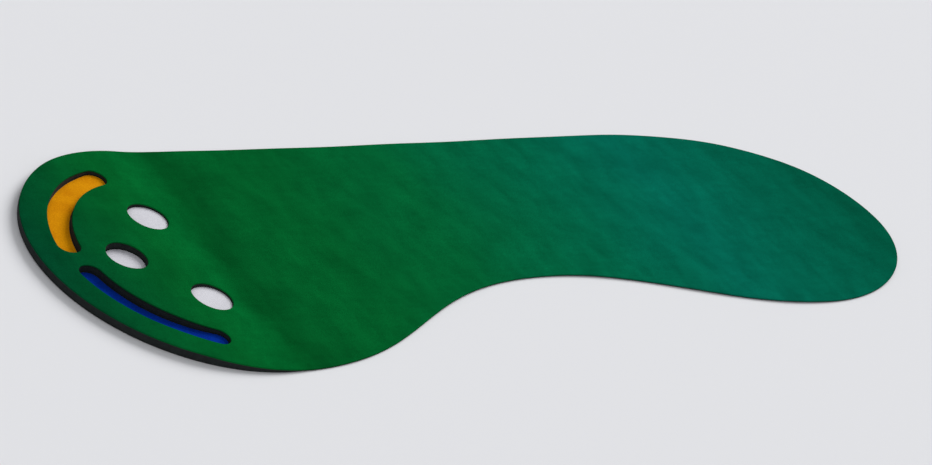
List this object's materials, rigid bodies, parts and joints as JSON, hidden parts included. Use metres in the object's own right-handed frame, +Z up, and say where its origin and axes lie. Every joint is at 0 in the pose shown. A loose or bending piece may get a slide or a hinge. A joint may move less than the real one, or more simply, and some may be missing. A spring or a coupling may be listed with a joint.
{
  "type": "practice putting mat",
  "caption": "Putting mat of green turf with a raised foam head holding putting cups and curved sand and water hazard slots; the flat runway rolls up towards the head for storage.",
  "frame": {"origin": "bottom centre of the bounding box of the mat lying flat, on the floor", "axes": "+X from the raised head to the rounded tee end, +Y towards the straight side, +Z up"},
  "size_m": [2.74, 0.91, 0.025],
  "materials": {
    "turf": "short dense artificial pile",
    "foam": "closed-cell foam with a cut face",
    "base": "matt non-slip rubber",
    "cup_disc": "matt",
    "sand_liner": "smooth felt",
    "water_liner": "smooth felt"
  },
  "bodies": {
    "head": {"turf_head": "turf", "foam_wedge": "foam", "base_sheet": "base", "cup_disc_far": "cup_disc", "cup_disc_middle": "cup_disc", "cup_disc_near": "cup_disc", "sand_liner": "sand_liner", "water_liner": "water_liner"},
    "strip_01": {"turf_strip_01": "turf"},
    "strip_02": {"turf_strip_02": "turf"},
    "strip_03": {"turf_strip_03": "turf"},
    "strip_04": {"turf_strip_04": "turf"},
    "strip_05": {"turf_strip_05": "turf"},
    "strip_06": {"turf_strip_06": "turf"},
    "strip_07": {"turf_strip_07": "turf"},
    "strip_08": {"turf_strip_08": "turf"},
    "strip_09": {"turf_strip_09": "turf"},
    "strip_10": {"turf_strip_10": "turf"},
    "strip_11": {"turf_strip_11": "turf"},
    "strip_12": {"turf_strip_12": "turf"},
    "strip_13": {"turf_strip_13": "turf"},
    "strip_14": {"turf_strip_14": "turf"},
    "strip_15": {"turf_strip_15": "turf"},
    "strip_16": {"turf_strip_16": "turf"},
    "strip_17": {"turf_strip_17": "turf"},
    "strip_18": {"turf_strip_18": "turf"},
    "strip_19": {"turf_strip_19": "turf"},
    "strip_20": {"turf_strip_20": "turf"},
    "strip_21": {"turf_strip_21": "turf"},
    "strip_22": {"turf_strip_22": "turf"},
    "strip_23": {"turf_strip_23": "turf"},
    "strip_24": {"turf_strip_24": "turf"},
    "strip_25": {"turf_strip_25": "turf"},
    "strip_26": {"turf_strip_26": "turf"},
    "strip_27": {"turf_strip_27": "turf"},
    "strip_28": {"turf_strip_28": "turf"},
    "strip_29": {"turf_strip_29": "turf"},
    "strip_30": {"turf_strip_30": "turf"},
    "strip_31": {"turf_strip_31": "turf"},
    "strip_32": {"turf_strip_32": "turf"},
    "strip_33": {"turf_strip_33": "turf"},
    "strip_34": {"turf_strip_34": "turf"},
    "strip_35": {"turf_strip_35": "turf"},
    "strip_36": {"turf_strip_36": "turf"},
    "strip_37": {"turf_strip_37": "turf"},
    "strip_38": {"turf_strip_38": "turf"},
    "strip_39": {"turf_strip_39": "turf"},
    "strip_40": {"turf_strip_40": "turf"},
    "strip_41": {"turf_strip_41": "turf"},
    "strip_42": {"turf_strip_42": "turf"},
    "strip_43": {"turf_strip_43": "turf"},
    "strip_44": {"turf_strip_44": "turf"},
    "strip_45": {"turf_strip_45": "turf"},
    "strip_46": {"turf_strip_46": "turf"},
    "strip_47": {"turf_strip_47": "turf"},
    "strip_48": {"turf_strip_48": "turf"},
    "strip_49": {"turf_strip_49": "turf"},
    "strip_50": {"turf_strip_50": "turf"}
  },
  "joints": [
    {"name": "roll_01", "type": "hinge", "parent": "head", "child": "strip_01", "pos_m": [-0.76, 0, 0.005], "axis": [0, -1, 0], "range_deg": [0, 18]},
    {"name": "roll_02", "type": "hinge", "parent": "strip_01", "child": "strip_02", "pos_m": [-0.7174, 0, 0.005], "axis": [0, -1, 0], "range_deg": [0, 18.15]},
    {"name": "roll_03", "type": "hinge", "parent": "strip_02", "child": "strip_03", "pos_m": [-0.6748, 0, 0.005], "axis": [0, -1, 0], "range_deg": [0, 18.28]},
    {"name": "roll_04", "type": "hinge", "parent": "strip_03", "child": "strip_04", "pos_m": [-0.6322, 0, 0.005], "axis": [0, -1, 0], "range_deg": [0, 18.42]},
    {"name": "roll_05", "type": "hinge", "parent": "strip_04", "child": "strip_05", "pos_m": [-0.5896, 0, 0.005], "axis": [0, -1, 0], "range_deg": [0, 18.56]},
    {"name": "roll_06", "type": "hinge", "parent": "strip_05", "child": "strip_06", "pos_m": [-0.547, 0, 0.005], "axis": [0, -1, 0], "range_deg": [0, 18.7]},
    {"name": "roll_07", "type": "hinge", "parent": "strip_06", "child": "strip_07", "pos_m": [-0.5044, 0, 0.005], "axis": [0, -1, 0], "range_deg": [0, 18.85]},
    {"name": "roll_08", "type": "hinge", "parent": "strip_07", "child": "strip_08", "pos_m": [-0.4618, 0, 0.005], "axis": [0, -1, 0], "range_deg": [0, 19]},
    {"name": "roll_09", "type": "hinge", "parent": "strip_08", "child": "strip_09", "pos_m": [-0.4192, 0, 0.005], "axis": [0, -1, 0], "range_deg": [0, 19.15]},
    {"name": "roll_10", "type": "hinge", "parent": "strip_09", "child": "strip_10", "pos_m": [-0.3766, 0, 0.005], "axis": [0, -1, 0], "range_deg": [0, 19.31]},
    {"name": "roll_11", "type": "hinge", "parent": "strip_10", "child": "strip_11", "pos_m": [-0.334, 0, 0.005], "axis": [0, -1, 0], "range_deg": [0, 19.47]},
    {"name": "roll_12", "type": "hinge", "parent": "strip_11", "child": "strip_12", "pos_m": [-0.2914, 0, 0.005], "axis": [0, -1, 0], "range_deg": [0, 19.64]},
    {"name": "roll_13", "type": "hinge", "parent": "strip_12", "child": "strip_13", "pos_m": [-0.2488, 0, 0.005], "axis": [0, -1, 0], "range_deg": [0, 19.81]},
    {"name": "roll_14", "type": "hinge", "parent": "strip_13", "child": "strip_14", "pos_m": [-0.2062, 0, 0.005], "axis": [0, -1, 0], "range_deg": [0, 19.98]},
    {"name": "roll_15", "type": "hinge", "parent": "strip_14", "child": "strip_15", "pos_m": [-0.1636, 0, 0.005], "axis": [0, -1, 0], "range_deg": [0, 20.16]},
    {"name": "roll_16", "type": "hinge", "parent": "strip_15", "child": "strip_16", "pos_m": [-0.121, 0, 0.005], "axis": [0, -1, 0], "range_deg": [0, 20.34]},
    {"name": "roll_17", "type": "hinge", "parent": "strip_16", "child": "strip_17", "pos_m": [-0.0784, 0, 0.005], "axis": [0, -1, 0], "range_deg": [0, 20.53]},
    {"name": "roll_18", "type": "hinge", "parent": "strip_17", "child": "strip_18", "pos_m": [-0.0358, 0, 0.005], "axis": [0, -1, 0], "range_deg": [0, 20.73]},
    {"name": "roll_19", "type": "hinge", "parent": "strip_18", "child": "strip_19", "pos_m": [0.0068, 0, 0.005], "axis": [0, -1, 0], "range_deg": [0, 20.93]},
    {"name": "roll_20", "type": "hinge", "parent": "strip_19", "child": "strip_20", "pos_m": [0.0494, 0, 0.005], "axis": [0, -1, 0], "range_deg": [0, 21.13]},
    {"name": "roll_21", "type": "hinge", "parent": "strip_20", "child": "strip_21", "pos_m": [0.092, 0, 0.005], "axis": [0, -1, 0], "range_deg": [0, 21.35]},
    {"name": "roll_22", "type": "hinge", "parent": "strip_21", "child": "strip_22", "pos_m": [0.1346, 0, 0.005], "axis": [0, -1, 0], "range_deg": [0, 21.57]},
    {"name": "roll_23", "type": "hinge", "parent": "strip_22", "child": "strip_23", "pos_m": [0.1772, 0, 0.005], "axis": [0, -1, 0], "range_deg": [0, 21.79]},
    {"name": "roll_24", "type": "hinge", "parent": "strip_23", "child": "strip_24", "pos_m": [0.2198, 0, 0.005], "axis": [0, -1, 0], "range_deg": [0, 22.03]},
    {"name": "roll_25", "type": "hinge", "parent": "strip_24", "child": "strip_25", "pos_m": [0.2624, 0, 0.005], "axis": [0, -1, 0], "range_deg": [0, 22.27]},
    {"name": "roll_26", "type": "hinge", "parent": "strip_25", "child": "strip_26", "pos_m": [0.305, 0, 0.005], "axis": [0, -1, 0], "range_deg": [0, 22.51]},
    {"name": "roll_27", "type": "hinge", "parent": "strip_26", "child": "strip_27", "pos_m": [0.3476, 0, 0.005], "axis": [0, -1, 0], "range_deg": [0, 22.77]},
    {"name": "roll_28", "type": "hinge", "parent": "strip_27", "child": "strip_28", "pos_m": [0.3902, 0, 0.005], "axis": [0, -1, 0], "range_deg": [0, 23.04]},
    {"name": "roll_29", "type": "hinge", "parent": "strip_28", "child": "strip_29", "pos_m": [0.4328, 0, 0.005], "axis": [0, -1, 0], "range_deg": [0, 23.32]},
    {"name": "roll_30", "type": "hinge", "parent": "strip_29", "child": "strip_30", "pos_m": [0.4754, 0, 0.005], "axis": [0, -1, 0], "range_deg": [0, 23.6]},
    {"name": "roll_31", "type": "hinge", "parent": "strip_30", "child": "strip_31", "pos_m": [0.518, 0, 0.005], "axis": [0, -1, 0], "range_deg": [0, 23.9]},
    {"name": "roll_32", "type": "hinge", "parent": "strip_31", "child": "strip_32", "pos_m": [0.5606, 0, 0.005], "axis": [0, -1, 0], "range_deg": [0, 24.21]},
    {"name": "roll_33", "type": "hinge", "parent": "strip_32", "child": "strip_33", "pos_m": [0.6032, 0, 0.005], "axis": [0, -1, 0], "range_deg": [0, 24.53]},
    {"name": "roll_34", "type": "hinge", "parent": "strip_33", "child": "strip_34", "pos_m": [0.6458, 0, 0.005], "axis": [0, -1, 0], "range_deg": [0, 24.86]},
    {"name": "roll_35", "type": "hinge", "parent": "strip_34", "child": "strip_35", "pos_m": [0.6884, 0, 0.005], "axis": [0, -1, 0], "range_deg": [0, 25.21]},
    {"name": "roll_36", "type": "hinge", "parent": "strip_35", "child": "strip_36", "pos_m": [0.731, 0, 0.005], "axis": [0, -1, 0], "range_deg": [0, 25.57]},
    {"name": "roll_37", "type": "hinge", "parent": "strip_36", "child": "strip_37", "pos_m": [0.7736, 0, 0.005], "axis": [0, -1, 0], "range_deg": [0, 25.95]},
    {"name": "roll_38", "type": "hinge", "parent": "strip_37", "child": "strip_38", "pos_m": [0.8162, 0, 0.005], "axis": [0, -1, 0], "range_deg": [0, 26.35]},
    {"name": "roll_39", "type": "hinge", "parent": "strip_38", "child": "strip_39", "pos_m": [0.8588, 0, 0.005], "axis": [0, -1, 0], "range_deg": [0, 26.76]},
    {"name": "roll_40", "type": "hinge", "parent": "strip_39", "child": "strip_40", "pos_m": [0.9014, 0, 0.005], "axis": [0, -1, 0], "range_deg": [0, 27.2]},
    {"name": "roll_41", "type": "hinge", "parent": "strip_40", "child": "strip_41", "pos_m": [0.944, 0, 0.005], "axis": [0, -1, 0], "range_deg": [0, 27.66]},
    {"name": "roll_42", "type": "hinge", "parent": "strip_41", "child": "strip_42", "pos_m": [0.9866, 0, 0.005], "axis": [0, -1, 0], "range_deg": [0, 28.14]},
    {"name": "roll_43", "type": "hinge", "parent": "strip_42", "child": "strip_43", "pos_m": [1.0292, 0, 0.005], "axis": [0, -1, 0], "range_deg": [0, 28.65]},
    {"name": "roll_44", "type": "hinge", "parent": "strip_43", "child": "strip_44", "pos_m": [1.0718, 0, 0.005], "axis": [0, -1, 0], "range_deg": [0, 29.18]},
    {"name": "roll_45", "type": "hinge", "parent": "strip_44", "child": "strip_45", "pos_m": [1.1144, 0, 0.005], "axis": [0, -1, 0], "range_deg": [0, 29.75]},
    {"name": "roll_46", "type": "hinge", "parent": "strip_45", "child": "strip_46", "pos_m": [1.157, 0, 0.005], "axis": [0, -1, 0], "range_deg": [0, 30.35]},
    {"name": "roll_47", "type": "hinge", "parent": "strip_46", "child": "strip_47", "pos_m": [1.1996, 0, 0.005], "axis": [0, -1, 0], "range_deg": [0, 30.99]},
    {"name": "roll_48", "type": "hinge", "parent": "strip_47", "child": "strip_48", "pos_m": [1.2422, 0, 0.005], "axis": [0, -1, 0], "range_deg": [0, 31.68]},
    {"name": "roll_49", "type": "hinge", "parent": "strip_48", "child": "strip_49", "pos_m": [1.2848, 0, 0.005], "axis": [0, -1, 0], "range_deg": [0, 32.41]},
    {"name": "roll_50", "type": "hinge", "parent": "strip_49", "child": "strip_50", "pos_m": [1.3274, 0, 0.005], "axis": [0, -1, 0], "range_deg": [0, 33.19]}
  ],
  "couplings": [
    {"joint": "roll_02", "follows": "roll_01", "ratio": 1.0073},
    {"joint": "roll_03", "follows": "roll_01", "ratio": 1.0147},
    {"joint": "roll_04", "follows": "roll_01", "ratio": 1.0223},
    {"joint": "roll_05", "follows": "roll_01", "ratio": 1.0301},
    {"joint": "roll_06", "follows": "roll_01", "ratio": 1.0381},
    {"joint": "roll_07", "follows": "roll_01", "ratio": 1.0462},
    {"joint": "roll_08", "follows": "roll_01", "ratio": 1.0546},
    {"joint": "roll_09", "follows": "roll_01", "ratio": 1.0631},
    {"joint": "roll_10", "follows": "roll_01", "ratio": 1.0719},
    {"joint": "roll_11", "follows": "roll_01", "ratio": 1.0808},
    {"joint": "roll_12", "follows": "roll_01", "ratio": 1.0901},
    {"joint": "roll_13", "follows": "roll_01", "ratio": 1.0995},
    {"joint": "roll_14", "follows": "roll_01", "ratio": 1.1092},
    {"joint": "roll_15", "follows": "roll_01", "ratio": 1.1192},
    {"joint": "roll_16", "follows": "roll_01", "ratio": 1.1294},
    {"joint": "roll_17", "follows": "roll_01", "ratio": 1.1399},
    {"joint": "roll_18", "follows": "roll_01", "ratio": 1.1507},
    {"joint": "roll_19", "follows": "roll_01", "ratio": 1.1618},
    {"joint": "roll_20", "follows": "roll_01", "ratio": 1.1733},
    {"joint": "roll_21", "follows": "roll_01", "ratio": 1.1851},
    {"joint": "roll_22", "follows": "roll_01", "ratio": 1.1973},
    {"joint": "roll_23", "follows": "roll_01", "ratio": 1.2098},
    {"joint": "roll_24", "follows": "roll_01", "ratio": 1.2228},
    {"joint": "roll_25", "follows": "roll_01", "ratio": 1.2362},
    {"joint": "roll_26", "follows": "roll_01", "ratio": 1.25},
    {"joint": "roll_27", "follows": "roll_01", "ratio": 1.2643},
    {"joint": "roll_28", "follows": "roll_01", "ratio": 1.2791},
    {"joint": "roll_29", "follows": "roll_01", "ratio": 1.2945},
    {"joint": "roll_30", "follows": "roll_01", "ratio": 1.3104},
    {"joint": "roll_31", "follows": "roll_01", "ratio": 1.3269},
    {"joint": "roll_32", "follows": "roll_01", "ratio": 1.344},
    {"joint": "roll_33", "follows": "roll_01", "ratio": 1.3618},
    {"joint": "roll_34", "follows": "roll_01", "ratio": 1.3804},
    {"joint": "roll_35", "follows": "roll_01", "ratio": 1.3997},
    {"joint": "roll_36", "follows": "roll_01", "ratio": 1.4199},
    {"joint": "roll_37", "follows": "roll_01", "ratio": 1.441},
    {"joint": "roll_38", "follows": "roll_01", "ratio": 1.463},
    {"joint": "roll_39", "follows": "roll_01", "ratio": 1.4861},
    {"joint": "roll_40", "follows": "roll_01", "ratio": 1.5103},
    {"joint": "roll_41", "follows": "roll_01", "ratio": 1.5357},
    {"joint": "roll_42", "follows": "roll_01", "ratio": 1.5625},
    {"joint": "roll_43", "follows": "roll_01", "ratio": 1.5907},
    {"joint": "roll_44", "follows": "roll_01", "ratio": 1.6205},
    {"joint": "roll_45", "follows": "roll_01", "ratio": 1.652},
    {"joint": "roll_46", "follows": "roll_01", "ratio": 1.6855},
    {"joint": "roll_47", "follows": "roll_01", "ratio": 1.7211},
    {"joint": "roll_48", "follows": "roll_01", "ratio": 1.759},
    {"joint": "roll_49", "follows": "roll_01", "ratio": 1.7995},
    {"joint": "roll_50", "follows": "roll_01", "ratio": 1.843}
  ]
}
